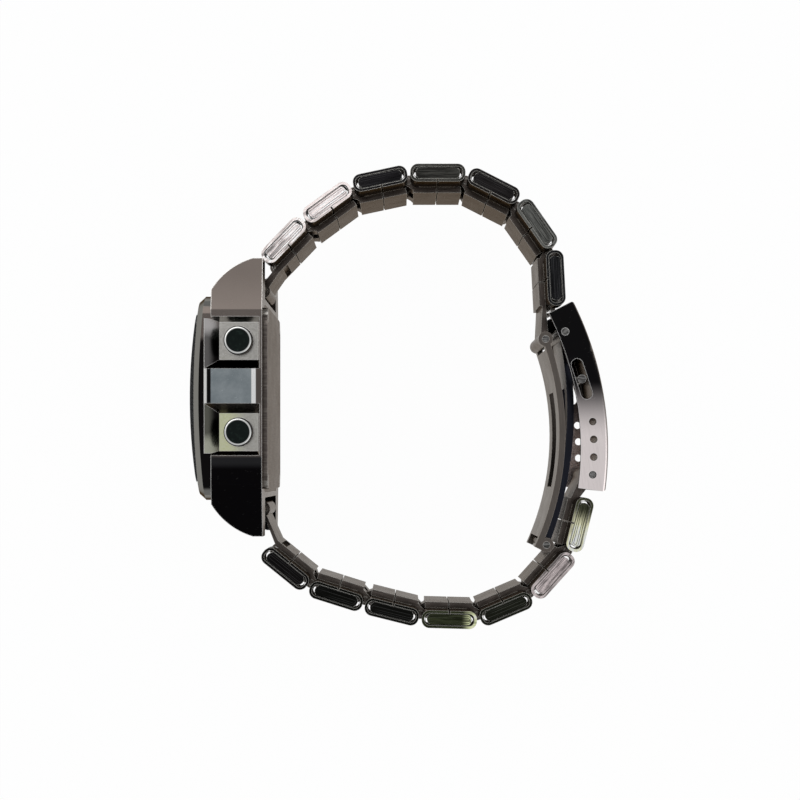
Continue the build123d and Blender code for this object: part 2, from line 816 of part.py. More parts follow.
def build_head():
    """Everything that rides on the case."""
    slot_half = half_band + lug_clearance
    add("case", make_case(), "case")
    add("bezel", make_bezel(), "case")
    add("crystal", make_crystal(), "case")
    add("dial_mask", make_dial_mask(), "case")
    add("display_panel", make_lcd(), "case")
    add("contact_strips", make_strips(), "case")
    add("module_frame", make_module_frame(), "case")
    add("circuit_board", make_board(), "case")
    add("clock_chip", make_chip(), "case")
    add("quartz_can", make_quartz(), "case")
    add("lamp", make_lamp(), "case")
    add("battery", make_battery(), "case")
    add("battery_clip", make_battery_clip(), "case")
    add("buzzer_disc", make_buzzer(), "case")
    add("back_gasket", make_gasket(), "case")
    add("case_back", make_case_back(), "case")
    add("case_back_screws", make_screws(), "case")
    add("upper_spring_bar", make_spring_bar(upper_bar, slot_half, bar_tip_length - part_gap), "case")


def build_pushers():
    """Four pushers, each with its spring and clip, sliding along the strap direction."""
    names = ["light", "mode", "alarm", "adjust"]
    for name, (y, side) in zip(names, pusher_places()):
        body = name + "_pusher"
        add(body, make_pusher(y, side), body)
        add(name + "_pusher_clip", make_pusher_clip(y, side), body)
        add(name + "_pusher_spring", make_pusher_spring(y, side), "case")
        joints.append((name + "_press", "case", body, None, 0.0, pusher_travel, -side))


def build_bracelet_and_clasp():
    """The chain of links and clasp pieces, from the upper lug round to the lower one."""
    upper_lug_end = end_of(upper_lug_reach, upper_lug_drop + shell_rise, "full", bar_barrel_radius,
                           bar_body_radius, True)
    lower_lug_end = end_of(lower_lug_reach, lower_lug_drop + shell_rise, "full", bar_barrel_radius,
                           bar_body_radius, True)
    plain_start = end_of()
    plain_end = end_of(row="middle")
    top_end = end_of(upper_tongue_reach, upper_tongue_drop + shell_rise, "full", clasp_barrel_radius,
                     clasp_pin_radius)
    adjust_end = end_of(lower_tongue_reach, 0.0, "full", bar_barrel_radius, bar_body_radius)
    parent = "case"
    turned = first_direction
    count = len(upper_directions)
    for index, direction in enumerate(upper_directions):
        name = "link_" + str(index + 1)
        first = upper_lug_end if index == 0 else plain_start
        last = top_end if index == count - 1 else plain_end
        place = upper_joints[index]
        put_link(name, parent, place, direction, turned, first, last)
        parent = name
        turned = direction
    add("inner_blade", clasp_place * make_inner_blade(), "inner_blade")
    add("blade_end_pin", clasp_place * Cylinder(clasp_pin_radius, inner_blade_width), "inner_blade")
    add_hinge("clasp_top_hinge", parent, "inner_blade", clasp_top, 0.0, clasp_top_swing)
    add("middle_blade", clasp_place * make_middle_blade(), "middle_blade")
    add("fold_pin", clasp_place * rod(fold_place, clasp_pin_radius, blade_half), "inner_blade")
    add_hinge("blade_fold", "inner_blade", "middle_blade", clasp_point(fold_place), -clasp_opening, 0.0)
    add("clasp_cover", clasp_place * make_cover(), "clasp_cover")
    add("cover_pin", clasp_place * rod(cover_pin_place, clasp_pin_radius, cover_width / 2), "clasp_cover")
    bar = make_spring_bar(adjust_place, channel_half, cover_side_wall)
    add("adjusting_spring_bar", clasp_place * bar, "clasp_cover")
    latch = rod(slot_middle, latch_bar_radius, cover_width / 2)
    add("latch_bar", clasp_place * latch, "clasp_cover")
    add_hinge("cover_swing", "middle_blade", "clasp_cover", clasp_point(cover_pin_place), 0.0, clasp_opening)
    parent = "clasp_cover"
    turned = clasp_angle
    place = clasp_end
    for step, direction in enumerate(reversed(lower_directions)):
        name = "link_" + str(count + 1 + step)
        first = adjust_end if step == 0 else plain_start
        last = lower_lug_end if step == len(lower_directions) - 1 else plain_end
        put_link(name, parent, place, direction - 180, turned, first, last)
        parent = name
        turned = direction - 180
        place = lower_joints[-1 - step]
    lower = make_spring_bar(lower_bar, half_band + lug_clearance, -bar_tip_clearance)
    add("lower_spring_bar", lower, parent)


def put_link(name, parent, place, direction, turned, first, last):
    """Turn one link into place and note its hinge, which opens until the links are in line."""
    turn = Pos(place.X, place.Y, 0) * Rot(0, 0, direction) * Pos(0, -first["rise"], 0)
    solids = [turn * solid for solid in make_link(first, last)]
    add(name, Compound(children=solids), name)
    add_hinge(name + "_hinge", parent, name, place, 0.0, turned - direction)


def origin_shift():
    """The step that puts the origin under the middle of the watch, on the table."""
    boxes = [shape.bounding_box() for shape in parts.values()]
    low = Vector(*[min(values) for values in zip(*[tuple(box.min) for box in boxes])])
    high = Vector(*[max(values) for values in zip(*[tuple(box.max) for box in boxes])])
    return Vector(-(low.X + high.X) / 2, -(low.Y + high.Y) / 2, -low.Z)


build_head()
build_pushers()
build_bracelet_and_clasp()
shift = origin_shift()
os.makedirs("parts", exist_ok=True)
for name, shape in parts.items():
    export_step(shape.moved(Location(shift)), "parts/" + name + ".step")
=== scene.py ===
import json
import math

import bpy
from mathutils import Matrix, Vector


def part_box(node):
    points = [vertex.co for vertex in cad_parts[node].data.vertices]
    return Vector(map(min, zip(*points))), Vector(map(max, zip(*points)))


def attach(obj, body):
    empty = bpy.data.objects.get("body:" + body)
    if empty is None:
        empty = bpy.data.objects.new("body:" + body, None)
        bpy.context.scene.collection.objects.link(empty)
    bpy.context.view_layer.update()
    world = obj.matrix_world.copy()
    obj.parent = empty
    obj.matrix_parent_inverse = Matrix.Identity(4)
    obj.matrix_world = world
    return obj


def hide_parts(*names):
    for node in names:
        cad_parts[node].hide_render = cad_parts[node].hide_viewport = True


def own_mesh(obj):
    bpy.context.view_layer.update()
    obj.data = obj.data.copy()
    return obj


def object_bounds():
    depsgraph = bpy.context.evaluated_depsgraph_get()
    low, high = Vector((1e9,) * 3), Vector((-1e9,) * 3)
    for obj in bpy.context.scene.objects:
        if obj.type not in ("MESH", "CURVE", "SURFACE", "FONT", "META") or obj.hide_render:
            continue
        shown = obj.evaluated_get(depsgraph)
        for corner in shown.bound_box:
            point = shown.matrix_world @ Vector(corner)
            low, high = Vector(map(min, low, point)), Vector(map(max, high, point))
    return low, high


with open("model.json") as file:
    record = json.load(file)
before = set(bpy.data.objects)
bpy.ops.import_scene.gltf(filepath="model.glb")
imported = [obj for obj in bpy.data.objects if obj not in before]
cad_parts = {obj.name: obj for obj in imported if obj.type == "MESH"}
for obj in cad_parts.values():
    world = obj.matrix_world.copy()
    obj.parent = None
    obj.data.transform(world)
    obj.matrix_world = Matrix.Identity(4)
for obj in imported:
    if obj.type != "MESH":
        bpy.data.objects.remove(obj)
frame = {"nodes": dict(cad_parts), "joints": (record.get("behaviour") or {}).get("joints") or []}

bl_info = {
    "name": "Digital wrist watch",
    "version": (1, 0, 0),
    "blender": (4, 5, 0),
    "location": "View3D > Sidebar > Watch",
    "description": "Finishes and fine detail for a digital watch on a folded-link bracelet",
    "category": "Object",
}

cad_low, cad_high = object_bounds()

# The frame of the watch, in metres: +Z across the strap, -X the dial, +Y twelve o'clock
mm = 0.001
strap_middle = 17.0 * mm
half_band = 11.0 * mm
half_case = 17.0 * mm
guard_middle = (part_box("light_pusher")[0].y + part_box("mode_pusher")[1].y) / 2
guard_dial_end = cad_low.x + 2.9 * mm
link_pitch = 9.45 * mm
link_length = 9.05 * mm
link_thickness = 2.9 * mm
end_recess = 0.25 * mm
sheet_wall = 0.45 * mm
shell_rise = 0.5 * mm
pusher_names = ("light", "mode", "alarm", "adjust")
# Each link: the way it points from its first hinge, in degrees, how far along its shell starts and
# how far outside the hinge the middle of its shell lies
link_places = {
    "link_1": (46.0, 3.55 * mm, 2.55 * mm),
    "link_2": (36.0, 0.0, shell_rise),
    "link_3": (12.0, 0.0, shell_rise),
    "link_4": (0.0, 0.0, shell_rise),
    "link_5": (-27.0, 0.0, shell_rise),
    "link_6": (-55.0, 0.0, shell_rise),
    "link_7": (-87.0, 0.0, shell_rise),
    "link_8": (-104.0, 3.7 * mm, 0.0),
    "link_9": (-132.0, 0.0, shell_rise),
    "link_10": (-157.0, 0.0, shell_rise),
    "link_11": (-181.5, 0.0, shell_rise),
    "link_12": (-194.0, 0.0, shell_rise),
    "link_13": (-197.5, 0.0, shell_rise),
    "link_14": (-219.0, 0.0, shell_rise),
}
# Each link's end faces: their painted reflection tone, and the share of pale streaks in it
link_end_reflections = {
    "link_1": ((0.60, 0.53, 0.51), 0.8),
    "link_2": ((0.70, 0.61, 0.59), 0.5),
    "link_3": ((0.012, 0.011, 0.012), 0.25),
    "link_4": ((0.035, 0.034, 0.030), 0.6),
    "link_5": ((0.016, 0.014, 0.014), 0.3),
    "link_6": ((0.085, 0.085, 0.078), 0.8),
    "link_7": ((0.014, 0.014, 0.015), 0.4),
    "link_8": ((0.05, 0.052, 0.03), 0.6),
    "link_9": ((0.42, 0.36, 0.35), 0.8),
    "link_10": ((0.014, 0.015, 0.010), 0.3),
    "link_11": ((0.026, 0.030, 0.014), 0.7),
    "link_12": ((0.007, 0.007, 0.006), 0.2),
    "link_13": ((0.006, 0.006, 0.005), 0.2),
    "link_14": ((0.008, 0.007, 0.007), 0.3),
}
# Where a link's end faces turn to a painted highlight: its tone, and how far along the link, from its
# first hinge, it begins and is full
link_end_highlights = {
    "link_8": ((0.98, 0.94, 0.62), 5.5 * mm, 10.0 * mm),
    "link_11": ((0.80, 0.84, 0.48), 2.8 * mm, 0.5 * mm),
}
# Moulded pieces inside the case: the finish's name, tone, roughness, grain scale and mottle
module_polymers = {
    "back_gasket": ("gasket rubber", (0.02, 0.02, 0.02), 0.7, 1800.0, 0.15),
    "contact_strips": ("strip rubber", (0.55, 0.30, 0.34), 0.6, 2400.0, 0.15),
    "module_frame": ("holder plastic", (0.03, 0.03, 0.033), 0.5, 1400.0, 0.15),
    "circuit_board": ("board laminate", (0.02, 0.10, 0.035), 0.4, 2600.0, 0.3),
    "clock_chip": ("chip resin", (0.012, 0.012, 0.012), 0.35, 900.0, 0.15),
    "lamp": ("lamp lens", (0.75, 0.62, 0.25), 0.2, 900.0, 0.15),
}
# Metal pieces inside the case: the finish's name, its tone and its edges' tone, for pale grain and painted
# edge highlights
module_metals = {
    ("battery", "quartz_can"): ("cell plating", (0.55, 0.54, 0.52), (0.75, 0.74, 0.72)),
    ("battery_clip",): ("strap steel", (0.4, 0.39, 0.37), (0.7, 0.69, 0.67)),
    ("buzzer_disc",): ("sounder brass", (0.55, 0.36, 0.12), (0.8, 0.6, 0.3)),
}
joint_places = {joint["child"]: Vector(joint["pos_m"]) for joint in frame["joints"] if "pos_m" in joint}


# Settings that a user may change
class WatchSizes(bpy.types.PropertyGroup):
    """Sizes of the fine detail."""
    layer_step: bpy.props.FloatProperty(
        name="Layer step", description="Spacing of the folded layers in a link end",
        default=0.30 * mm, unit="LENGTH", precision=5)
    layer_wire: bpy.props.FloatProperty(
        name="Layer edge", description="Thickness of each folded layer's edge",
        default=0.08 * mm, unit="LENGTH", precision=5)
    layer_count: bpy.props.IntProperty(
        name="Layers", description="Folded layers in a link end", default=3)
    spring_wire: bpy.props.FloatProperty(
        name="Spring wire", description="Wire of a pusher's return spring",
        default=0.28 * mm, unit="LENGTH", precision=5)
    spring_turns: bpy.props.IntProperty(
        name="Spring turns", description="Turns of a pusher's return spring", default=4)
    digit_height: bpy.props.FloatProperty(
        name="Digit height", description="Height of the large digits on the display",
        default=5.2 * mm, unit="LENGTH", precision=5)


class WatchColours(bpy.types.PropertyGroup):
    """Colours of the main finishes."""
    steel: bpy.props.FloatVectorProperty(
        name="Steel", description="Polished case steel", subtype="COLOR",
        default=(0.105, 0.088, 0.078))
    satin: bpy.props.FloatVectorProperty(
        name="Satin steel", description="Upper floors of the case's side pockets", subtype="COLOR",
        default=(0.38, 0.36, 0.33))
    bronze: bpy.props.FloatVectorProperty(
        name="Link steel", description="Broad faces of the bracelet's links", subtype="COLOR",
        default=(0.105, 0.088, 0.077))
    pusher: bpy.props.FloatVectorProperty(
        name="Pusher heads", description="Dark polished pusher heads", subtype="COLOR",
        default=(0.012, 0.016, 0.015))
    display: bpy.props.FloatVectorProperty(
        name="Display", description="Ground of the display", subtype="COLOR",
        default=(0.33, 0.37, 0.29))


# Shader maths
class Wire:
    """A shader value whose arithmetic adds the nodes that it needs."""

    def __init__(self, finish, socket):
        self.finish = finish
        self.socket = socket

    def combine(self, operation, first, second):
        """A Math node on two values or wires."""
        return self.finish.node("ShaderNodeMath", {"operation": operation}, {0: first, 1: second})

    def __add__(self, other):
        return self.combine("ADD", self, other)

    def __radd__(self, other):
        return self.combine("ADD", other, self)

    def __sub__(self, other):
        return self.combine("SUBTRACT", self, other)

    def __rsub__(self, other):
        return self.combine("SUBTRACT", other, self)

    def __mul__(self, other):
        return self.combine("MULTIPLY", self, other)

    def __rmul__(self, other):
        return self.combine("MULTIPLY", other, self)

    def power(self, other):
        """This value raised to another."""
        return self.combine("POWER", self, other)

    def most(self, other):
        """The larger of two values."""
        return self.combine("MAXIMUM", self, other)

    def size(self):
        """This value without its sign."""
        return self.combine("ABSOLUTE", self, 0.0)

    def between(self, start, full):
        """0 up to the start, 1 from full on and smooth between them; full may be the lower one."""
        return self.finish.node(
            "ShaderNodeMapRange", {"interpolation_type": "SMOOTHSTEP"},
            {"Value": self, "From Min": start, "From Max": full, "To Min": 0.0, "To Max": 1.0})


class Finish:
    """A material and the nodes that make it."""

    def __init__(self, name, **constants):
        self.material = bpy.data.materials.new(name)
        self.material.use_nodes = True
        self.tree = self.material.node_tree
        self.shader = self.tree.nodes["Principled BSDF"]
        for socket, value in constants.items():
            self.shader.inputs[socket.replace("_", " ")].default_value = value

    def node(self, kind, settings=None, inputs=None, output=0):
        """Adds a node, its settings first and then its sockets, and gives one of its outputs."""
        made = self.tree.nodes.new(kind)
        for key, value in (settings or {}).items():
            setattr(made, key, value)
        for key, value in (inputs or {}).items():
            if isinstance(value, Wire):
                self.tree.links.new(value.socket, made.inputs[key])
            else:
                made.inputs[key].default_value = value
        return Wire(self, made.outputs[output])

    def put(self, **sockets):
        """Links wires to the shader's own sockets."""
        for socket, value in sockets.items():
            self.tree.links.new(value.socket, self.shader.inputs[socket.replace("_", " ")])

    def place(self):
        """Object coordinates, in metres."""
        return self.node("ShaderNodeTexCoord", output="Object")

    def facing(self):
        """The way the surface faces, on the object's own axes."""
        return self.node("ShaderNodeTexCoord", output="Normal")

    def parts(self, vector):
        """The three numbers of a vector."""
        split = self.tree.nodes.new("ShaderNodeSeparateXYZ")
        self.tree.links.new(vector.socket, split.inputs[0])
        return [Wire(self, out) for out in split.outputs]

    def across(self):
        """How squarely the surface faces along Z: 1 on the watch's two sides, 0 on faces round it."""
        return self.parts(self.facing())[2].size()

    def mapped(self, vector, scale, turn=0.0, centre=(0.0, 0.0, 0.0)):
        """A vector moved to a centre, turned about Z and then stretched."""
        spun = self.node(
            "ShaderNodeVectorRotate", {"rotation_type": "Z_AXIS"},
            {"Vector": vector, "Center": centre, "Angle": -math.radians(turn)})
        return self.node("ShaderNodeMapping", {"vector_type": "POINT"}, {"Vector": spun, "Scale": scale})

    def along(self, place, start, turn):
        """How far a place lies from a start, in the direction of a turn about Z."""
        x, y = self.parts(place)[:2]
        angle = math.radians(turn)
        return (x - start[0]) * math.cos(angle) + (y - start[1]) * math.sin(angle)

    def noise(self, vector, scale, detail=4.0, roughness=0.55):
        """Smooth random values from 0 to 1."""
        return self.node("ShaderNodeTexNoise", None,
                         {"Vector": vector, "Scale": scale, "Detail": detail, "Roughness": roughness})

    def blend(self, factor, first, second, mode="MIX"):
        """Two colours mixed by a factor."""
        colours = [value if isinstance(value, Wire) else (*value, 1.0) for value in (first, second)]
        return self.node("ShaderNodeMix", {"data_type": "RGBA", "blend_type": mode},
                         {0: factor, 6: colours[0], 7: colours[1]}, output=2)

    def scaled(self, colour, factor):
        """A colour, wired or plain, multiplied by a factor."""
        return self.blend(1.0, colour, (factor, factor, factor), "MULTIPLY")

    def edges(self, radius, gain):
        """1 along sharp edges and 0 on open faces."""
        rounded = self.node("ShaderNodeBevel", {"samples": 6}, {"Radius": radius})
        plain = self.node("ShaderNodeNewGeometry", output="Normal")
        alike = self.node("ShaderNodeVectorMath", {"operation": "DOT_PRODUCT"}, {0: rounded, 1: plain},
                          output="Value")
        return ((1.0 - alike) * gain).between(0.0, 1.0)

    def relief(self, height, strength, distance):
        """Bump from a height, onto the shader's normal."""
        self.put(Normal=self.node("ShaderNodeBump", None,
                                  {"Height": height, "Strength": strength, "Distance": distance}))


def lighter(colour, factor):
    """A plain colour scaled by a factor, up to full white."""
    return tuple(min(1.0, value * factor) for value in colour)


def metal(name, tone, roughness):
    """A bare metal finish before its detail, darker where it is seen at a grazing angle."""
    return Finish(name, Base_Color=(*tone, 1.0), Metallic=1.0, Roughness=roughness,
                  Specular_Tint=(0.36, 0.32, 0.28, 1.0))


def add_edge_highlights_and_wear(finish, colour, roughness, edge_tone, edge_radius, edge_gain=2.2, smudge=0.12):
    """Painted highlights along the edges, fine scratches and soft smudges on a metal."""
    scratch_tint = 0.04
    scratch_roughness = 0.15
    place = finish.place()
    edge = finish.edges(edge_radius, edge_gain)
    cloud = finish.noise(place, scale=260.0, detail=3.0)
    brushed_place = finish.mapped(place, scale=(1.0, 14.0, 3.0), turn=31.0)
    scratch = finish.noise(brushed_place, scale=900.0, detail=2.0).between(0.70, 0.76)
    worn = finish.blend(scratch * scratch_tint, colour, edge_tone)
    # Painted highlight: the edges turn to the edge tone
    finish.put(Base_Color=finish.blend(edge, worn, edge_tone))
    finish.put(Roughness=cloud * smudge + scratch * scratch_roughness + (roughness - smudge / 2))
    return cloud


# Case
def case_steel(colours):
    """Polished and satin steel of the case, with painted reflections, highlights and shade by the place and
    the slope of each face.
    """
    steel = tuple(colours.steel)
    satin = tuple(colours.satin)
    finish = metal("polished case steel", steel, roughness=0.22)
    place = finish.place()
    x, y, z = finish.parts(place)
    nx, ny, nz = finish.parts(finish.facing())
    rise = y - guard_middle
    depth = (z - strap_middle).size()
    squareness = nz.size()
    grain = finish.noise(place, scale=2600.0, detail=5.0, roughness=0.7)
    cloud = finish.noise(place, scale=330.0, detail=3.0)

    # The faces: pocket floors, the guard between the pushers, the slopes and the lower lug
    flat = squareness.between(0.86, 0.98)
    top = depth.between(half_case - 0.6 * mm, half_case - 0.2 * mm)
    beside = 1.0 - rise.size().between(11.0 * mm, 11.4 * mm)
    floor = flat * (1.0 - top) * beside
    guard = flat * top * (1.0 - rise.size().between(2.7 * mm, 2.9 * mm))
    slope = squareness.between(0.06, 0.14) * (1.0 - flat) * beside
    upper_half = rise.between(-1.0 * mm, 1.0 * mm)
    lower_lug = 1.0 - rise.between(-11.6 * mm, -11.0 * mm)

    # The lugs: plain steel towards the upper tip; painted shade makes the lower lug nearly black, with a
    # painted highlight stretch on it
    upper_root = (0.14, 0.118, 0.105)
    lower_lug_painted_shade = (0.004, 0.0035, 0.004)
    lower_lug_painted_light = (0.05, 0.05, 0.052)
    base = finish.blend(rise.between(11.0 * mm, 19.0 * mm), upper_root, steel)
    base = finish.blend(lower_lug * squareness.between(0.5, 0.7), base, lower_lug_painted_shade)
    lit = rise.between(-13.4 * mm, -12.2 * mm) * lower_lug * flat
    base = finish.blend(lit * 0.4, base, lower_lug_painted_light)

    # The pocket floors: satin steel above, painted reflections below, yellow-green towards the dial and
    # grey-brown towards the wrist, and painted glints in the grain
    floor_reflection_near_dial = (0.62, 0.63, 0.38)
    floor_reflection_near_wrist = (0.42, 0.40, 0.36)
    floor_glint = (0.80, 0.79, 0.75)
    wristward = x.between(guard_dial_end + 3.5 * mm, guard_dial_end + 7.0 * mm)
    floor_satin_and_reflection = finish.blend(wristward, floor_reflection_near_dial, floor_reflection_near_wrist)
    floor_satin_and_reflection = finish.blend(rise.between(-6.0 * mm, 6.0 * mm), floor_satin_and_reflection, satin)
    floor_satin_and_reflection = finish.blend((grain - 0.35) * 0.8, floor_satin_and_reflection, floor_glint)
    base = finish.blend(floor, base, floor_satin_and_reflection)

    # Bands across the guard, from the dial to the wrist: where each starts, and its tone. The pale bands are
    # painted highlights, the black one is painted shadow in the gap beside the dial, and the grey-blue
    # between is the guard's own tone
    guard_grey = finish.blend(cloud.between(0.35, 0.65) * 0.6, (0.22, 0.25, 0.262), (0.34, 0.37, 0.38))
    guard_bands_and_painted_light = (0.80, 0.78, 0.75)
    band_blur = 0.08 * mm
    bands = [(0.45 * mm, (0.006, 0.006, 0.006)), (1.1 * mm, guard_grey), (7.6 * mm, (0.92, 0.91, 0.89)),
             (8.3 * mm, steel)]
    for start, tone in bands:
        edge = guard_dial_end + start
        guard_bands_and_painted_light = finish.blend(x.between(edge - band_blur, edge + band_blur), guard_bands_and_painted_light, tone)
    base = finish.blend(guard, base, guard_bands_and_painted_light)

    # The slopes that face up, down and towards the dial: painted shade on those facing up, painted
    # reflections on those facing down, and painted shade and light on those facing the dial
    turned = (0.3, 0.55)
    upward_painted_shade = (0.005, 0.005, 0.005)
    downward_painted_reflection = finish.blend(upper_half, (0.45, 0.40, 0.36), (0.82, 0.80, 0.77))
    dialward_shade = (0.012, 0.011, 0.011)
    dialward_light = finish.blend(upper_half, (0.50, 0.50, 0.40), (0.58, 0.55, 0.53))
    upper_fade = rise.between(7.0 * mm, 9.6 * mm)
    lower_fade = 1.0 - rise.between(-9.4 * mm, -6.6 * mm)
    rim = depth.between(half_case - 1.5 * mm, half_case - 0.4 * mm) * 0.25
    dialward_painted_light = finish.blend(upper_fade.most(lower_fade).most(rim), dialward_shade, dialward_light)
    base = finish.blend(slope * ny.between(*turned), base, upward_painted_shade)
    base = finish.blend(slope * (ny * -1.0).between(*turned), base, downward_painted_reflection)
    base = finish.blend(slope * nx.between(*turned), base, dialward_painted_light)

    # Painted highlights along the case's edges, and fine scratches
    add_edge_highlights_and_wear(finish, base, roughness=0.2, edge_tone=(0.95, 0.92, 0.88), edge_radius=0.26 * mm, edge_gain=3.4)
    finish.relief(grain * (floor + guard * 0.4) + cloud * 0.15, strength=0.30, distance=0.02 * mm)
    return finish.material


def ring_steel(name, tone, edge_tone, roughness=0.2):
    """Turned or polished metal with a painted highlight along its edges."""
    finish = metal(name, tone, roughness)
    turned_place = finish.mapped(finish.place(), scale=(0.2, 1.0, 0.05))
    grain = finish.noise(turned_place, scale=4200.0, detail=3.0)
    colour = finish.blend(grain.between(0.35, 0.8) * 0.5, tone, edge_tone)
    cloud = add_edge_highlights_and_wear(finish, colour, roughness, edge_tone, edge_radius=0.15 * mm)
    finish.relief(grain + cloud * 0.3, strength=0.15, distance=0.015 * mm)
    return finish.material


def bezel_steel():
    """Smooth polish with painted reflections: black beside the crystal, brown-grey at its upper end and pale
    on the bevel, with painted highlights on its edges.
    """
    finish = metal("bezel polish", (0.02, 0.018, 0.017), roughness=0.14)
    y = finish.parts(finish.place())[1]
    squareness = finish.across()
    side = squareness.between(0.86, 0.96)
    bevel = squareness.between(0.4, 0.6) * (1.0 - side)
    front_tone = (0.10, 0.09, 0.082)
    # Painted reflections on the sides: dark beside the crystal, brown-grey towards the upper end
    side_tone = finish.blend(y.between(8.6 * mm, 9.8 * mm), (0.008, 0.007, 0.007), (0.15, 0.125, 0.11))
    bevel_painted_reflection = (0.20, 0.195, 0.18)
    base = finish.blend(side, front_tone, side_tone)
    base = finish.blend(bevel, base, bevel_painted_reflection)
    add_edge_highlights_and_wear(finish, base, roughness=0.14, edge_tone=(0.60, 0.58, 0.55), edge_radius=0.10 * mm,
             edge_gain=2.0, smudge=0.06)
    return finish.material


def pusher_steel(name, colours):
    """Nearly black polish with a dark-green painted reflection, a thin painted highlight ring near its edge,
    painted highlights on its edges and fine scratches.
    """
    tone = tuple(colours.pusher)
    green_painted_reflection = (0.035, 0.055, 0.045)
    ring_highlight_tone = (0.78, 0.77, 0.74)
    finish = metal(name + " polish", tone, roughness=0.12)
    place = finish.place()
    x, y = finish.parts(place)[:2]
    low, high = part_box(name)
    aside = x - (low.x + high.x) / 2
    up = y - (low.y + high.y) / 2
    reach = (aside * aside + up * up).power(0.5)
    highlight_ring = reach.between(1.85 * mm, 1.95 * mm) * (1.0 - reach.between(2.1 * mm, 2.2 * mm))
    cloud = finish.noise(place, scale=1500.0, detail=5.0, roughness=0.7)
    clouded = finish.blend(cloud.between(0.5, 0.75) * 0.6, tone, green_painted_reflection)
    ringed = finish.blend(highlight_ring * finish.across().between(0.5, 0.8), clouded, ring_highlight_tone)
    add_edge_highlights_and_wear(finish, ringed, roughness=0.14, edge_tone=(0.55, 0.54, 0.52), edge_radius=0.08 * mm,
             edge_gain=2.0)
    finish.relief(cloud, strength=0.06, distance=0.02 * mm)
    return finish.material


def plain_polymer(name, tone, roughness, grain_scale, spread=0.15):
    """Moulded or printed pieces with a faint mottle."""
    finish = Finish(name, Base_Color=(*tone, 1.0), Roughness=roughness)
    grain = finish.noise(finish.place(), grain_scale, detail=5.0, roughness=0.6)
    finish.put(Base_Color=finish.blend(grain.between(0.3, 0.7), lighter(tone, 1.0 - spread),
                                       lighter(tone, 1.0 + spread)))
    finish.put(Roughness=grain * 0.15 + (roughness - 0.07))
    finish.relief(grain, strength=0.25, distance=0.03 * mm)
    return finish.material


def crystal_clear():
    """Clear mineral crystal."""
    finish = Finish("clear crystal", Base_Color=(0.86, 0.88, 0.86, 1.0), Roughness=0.04, IOR=1.5,
                    Transmission_Weight=1.0)
    haze = finish.noise(finish.place(), scale=700.0)
    finish.put(Roughness=haze.between(0.55, 0.8) * 0.10 + 0.03)
    return finish.material


def display_ground(colours):
    """The grey-green ground of the display, with a faint fibre in it."""
    tone = tuple(colours.display)
    finish = Finish("display ground", Base_Color=(*tone, 1.0), Roughness=0.25, Coat_Weight=0.4)
    fibre = finish.noise(finish.place(), scale=2600.0)
    finish.put(Base_Color=finish.blend(fibre.between(0.3, 0.7), lighter(tone, 0.94), lighter(tone, 1.05)))
    finish.relief(fibre, strength=0.1, distance=0.01 * mm)
    return finish.material


def mask_print():
    """Black print behind the crystal, with a thin pale rule above and one below the display."""
    rule_tone = (0.55, 0.56, 0.54)
    rules_middle = -0.2 * mm
    rule_rise = 7.6 * mm
    rule_end = 9.8 * mm
    finish = Finish("printed mask", Base_Color=(0.008, 0.008, 0.01, 1.0), Roughness=0.3)
    place = finish.place()
    y, z = finish.parts(place)[1:]
    off_rule = ((y - rules_middle).size() - rule_rise).size()
    past_end = (z - strap_middle).size().between(rule_end, rule_end + 0.05 * mm) * mm
    rule = 1.0 - off_rule.most(past_end).between(0.1 * mm, 0.16 * mm)
    speck = finish.noise(place, scale=3000.0, detail=2.0)
    base = finish.blend(speck, (0.006, 0.006, 0.008), (0.012, 0.012, 0.014))
    finish.put(Base_Color=finish.blend(rule, base, rule_tone))
    return finish.material


# Bracelet and clasp
def link_steel(name, colours):
    """Folded sheet: brushed bronze-grey sides, end faces in this link's own painted reflection tones, and
    painted highlights on the edges.
    """
    turn = link_places[name][0]
    tone, streak_share = link_end_reflections[name]
    side_tone = tuple(colours.bronze)
    hinge = joint_places[name]
    finish = metal(name + " steel", side_tone, roughness=0.26)
    place = finish.place()
    z = finish.parts(place)[2]
    outer = (z - strap_middle).size().between(half_band - 0.6 * mm, half_band - 0.4 * mm)
    end = finish.across().between(0.55, 0.8) * outer
    # A painted highlight over part of the end faces of some links
    if name in link_end_highlights:
        glow, start, full = link_end_highlights[name]
        tone = finish.blend(finish.along(place, hinge, turn).between(start, full), tone, glow)
    fine_place = finish.mapped(place, (0.09, 1.0, 1.0), turn, tuple(hinge))
    broad_place = finish.mapped(place, (0.12, 1.0, 1.0), turn, tuple(hinge))
    streak = finish.noise(fine_place, scale=5200.0, roughness=0.65)
    broad = finish.noise(broad_place, scale=1500.0, detail=3.0)
    mottle = finish.noise(place, scale=420.0, detail=2.0)
    pale = finish.scaled(tone, 2.4)
    dark = finish.scaled(tone, 0.22)
    end_colour = finish.blend(streak.between(0.34, 0.66) * streak_share, tone, pale)
    end_colour = finish.blend((1.0 - broad.between(0.36, 0.5)) * streak_share, end_colour, dark)
    side_colour = finish.blend(streak.between(0.3, 0.75), lighter(side_tone, 0.72), lighter(side_tone, 1.45))
    side_colour = finish.blend(mottle.between(0.42, 0.7) * 0.5, side_colour, lighter(side_tone, 0.5))
    colour = finish.blend(end, side_colour, end_colour)
    add_edge_highlights_and_wear(finish, colour, roughness=0.24, edge_tone=(0.66, 0.64, 0.58), edge_radius=0.18 * mm,
             edge_gain=3.0)
    finish.relief(streak + mottle * 0.2, strength=0.25, distance=0.02 * mm)
    return finish.material


